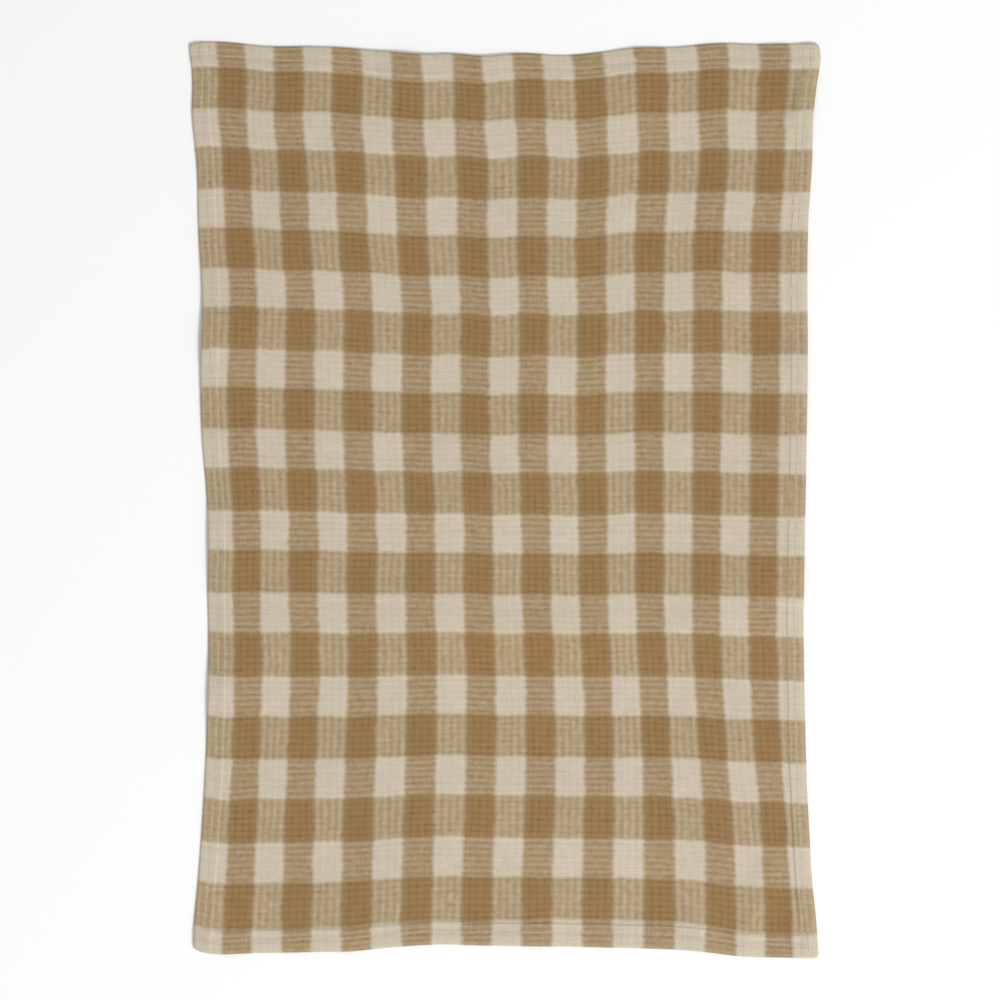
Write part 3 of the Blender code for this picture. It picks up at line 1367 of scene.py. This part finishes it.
    def seam_painted_shade(self, shader: Shader) -> Signal:
        """Painted shade in the furrows that the sewing lies in.

        Args:
            shader: The shader to build in.

        Returns:
            What to multiply the colour by.
        """
        margins = shader.node("Attribute", {"attribute_name": "margins"}, {})
        split = shader.node("SeparateXYZ", {}, {0: Signal(shader, margins.outputs["Vector"])})
        side, end = (Signal(shader, split.outputs[k]) for k in range(2))
        on_end = (1.0 - abs(end - self.cloth.end_seam) * self.end_seam_slope).held()
        on_side = (1.0 - abs(side - self.cloth.side_seam) * self.side_seam_slope).held()
        return 1.0 - (on_end * self.end_seam_painted_shade).larger(on_side * self.side_seam_painted_shade)

    def tinted(self, shader: Shader, colour: Signal, across: Signal, down: Signal) -> Signal:
        """Turns patches a little warmer or greener, most of all one streak below the middle.

        Args:
            shader: The shader to build in.
            colour: The colour to tint.
            across: Places in cells across.
            down: Places in cells down.

        Returns:
            The tinted colour.
        """
        patch = self.patch_grain.on(shader, across, down)
        share = ((patch - self.patch_from) * self.patch_slope).held()
        hue = shader.mixed(share, self.greener, self.warmer)
        colour = shader.mixed(1.0, colour, hue, "MULTIPLY")
        off_x = (across - self.streak_place[0]) / self.streak_reach[0]
        off_y = (down - self.streak_place[1]) / self.streak_reach[1]
        streak = (1.0 - off_x * off_x).held() * (1.0 - off_y * off_y).held()
        streaked = shader.mixed(1.0, colour, self.streak_tint, "MULTIPLY")
        return shader.mixed(streak, colour, streaked)

    def add_yarns(self, shader: Shader, across: Signal, down: Signal, upright: Signal) -> None:
        """Raises each yarn a little, along whichever set of threads is on top.

        Args:
            shader: The shader to build in.
            across: Places in cells across.
            down: Places in cells down.
            upright: How much of the lengthwise threads shows.
        """
        standing = 1.0 - abs((across * self.upright_yarns).fraction() - 0.5) ** 2.0 * 4.0
        lying = 1.0 - abs((down * self.level_yarns).fraction() - 0.5) ** 2.0 * 4.0
        height = lying + (standing - lying) * upright
        fuzz = self.fuzz_grain.on(shader, across, down)
        sockets = {"Strength": self.yarn_strength, "Distance": self.yarn_height}
        bump = shader.node("Bump", {}, {**sockets, "Height": height + fuzz * self.fuzz})
        shader.plug(shader.surface.inputs["Normal"], Signal(shader, bump.outputs[0]))


@dataclass(frozen=True)
class SewingThread:
    """Cream sewing cotton with the twist of its strands."""

    colour: Colour = (0.56, 0.485, 0.375)
    roughness: float = 0.8
    specular: float = 0.3
    sheen: float = 0.1
    blotch_scale: float = 260.0
    twist_scale: float = 900.0
    darkest: float = 0.86
    blotch_gain: float = 0.22
    twist_gain: float = 0.06

    def material(self) -> bpy.types.Material:
        """Builds the finish.

        Returns:
            The material.
        """
        shader = Shader("sewing_thread")
        place = shader.node("TexCoord", {}, {})
        at = Signal(shader, place.outputs["Object"])
        blotch = shader.noise(at, self.blotch_scale)
        sockets = {"Vector": at, "Scale": self.twist_scale}
        wave = shader.node("TexWave", {"bands_direction": "DIAGONAL"}, sockets)
        twist = Signal(shader, wave.outputs["Fac"])
        shade = self.darkest + blotch * self.blotch_gain + twist * self.twist_gain
        colour = shader.mixed(1.0, self.colour, shader.grey(shade), "MULTIPLY")
        shader.plug(shader.surface.inputs["Base Color"], colour)
        shader.set_plain({
            "Roughness": self.roughness,
            "Specular IOR Level": self.specular,
            "Sheen Weight": self.sheen,
        })
        return shader.material


@dataclass(frozen=True)
class PaleFloor:
    """A plain white surface."""

    colour: Colour = (0.96, 0.96, 0.96)

    def material(self) -> bpy.types.Material:
        """Builds the finish.

        Returns:
            The material.
        """
        shader = Shader("pale_floor")
        shader.surface.inputs["Base Color"].default_value = (*self.colour, 1.0)
        shader.set_plain({"Roughness": 1.0, "Specular IOR Level": 0.0})
        return shader.material


@dataclass
class Studio:
    """The floor, the soft light from the lower right and the camera overhead."""

    cloth: Cloth
    floor_size: float = 30.0
    view_width: float = 0.778
    lens: float = 180.0
    sensor: float = 36.0
    offset: tuple[float, float] = (-0.0038, 0.0002)
    fill: float = 0.55
    key_share: float = 0.50
    key_size: float = 2.4
    key_place: tuple[float, float, float] = (3.1, -2.8, 4.5)
    view_depth: float = 50.0

    def build(self) -> None:
        """Makes the whole stage."""
        self.add_floor()
        self.add_fill()
        self.add_key()
        self.add_camera()
        bpy.context.scene.view_settings.view_transform = "Standard"

    def add_floor(self) -> None:
        """Makes the surface that the towel lies on."""
        half = self.floor_size / 2
        mesh = bpy.data.meshes.new("floor")
        corners = [(-half, -half, 0), (half, -half, 0), (half, half, 0), (-half, half, 0)]
        mesh.from_pydata(corners, [], [(0, 1, 2, 3)])
        mesh.materials.append(PaleFloor().material())
        floor = bpy.data.objects.new("floor", mesh)
        bpy.context.scene.collection.objects.link(floor)

    def add_fill(self) -> None:
        """Lights everything evenly from all round."""
        world = bpy.data.worlds.new("studio")
        world.use_nodes = True
        background = world.node_tree.nodes["Background"]
        background.inputs["Color"].default_value = (*WHITE, 1.0)
        background.inputs["Strength"].default_value = self.fill
        bpy.context.scene.world = world

    def add_key(self) -> None:
        """Hangs a broad soft lamp to the lower right."""
        lamp = bpy.data.lights.new("key", "AREA")
        lamp.shape = "DISK"
        lamp.size = self.key_size
        reach = Vector(self.key_place).length
        lamp.energy = self.key_share * math.pi**2 * reach**3 / self.key_place[2]
        key = bpy.data.objects.new("key", lamp)
        key.location = self.key_place
        key.rotation_euler = (-Vector(self.key_place)).to_track_quat("-Z", "Y").to_euler()
        bpy.context.scene.collection.objects.link(key)

    def add_camera(self) -> None:
        """Looks straight down with a long lens."""
        data = bpy.data.cameras.new("overhead")
        data.lens = self.lens
        data.sensor_width = self.sensor
        data.clip_end = self.view_depth
        camera = bpy.data.objects.new("overhead", data)
        x, y = (self.cloth.middle[k] + self.offset[k] for k in range(2))
        camera.location = (x, y, self.view_width * self.lens / self.sensor)
        bpy.context.scene.collection.objects.link(camera)
        bpy.context.scene.camera = camera


def main() -> None:
    """Builds the towel, its sewing and its stage in order."""
    logging.basicConfig(level=logging.INFO, format="%(message)s")
    cloth = Cloth()
    Studio(cloth).build()

    towel = Towel(cloth).build()
    towel.data.materials.append(CheckedCotton(cloth).material())
    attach(towel, "root")
    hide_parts(TOWEL_NODE)
    log.info("%s: %d faces", towel.name, len(towel.data.polygons))

    sewing = HemSewing(cloth).build()
    sewing.data.materials.append(SewingThread().material())
    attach(sewing, "root")
    log.info("%s: %d faces", sewing.name, len(sewing.data.polygons))


if __name__ == "__main__":
    main()
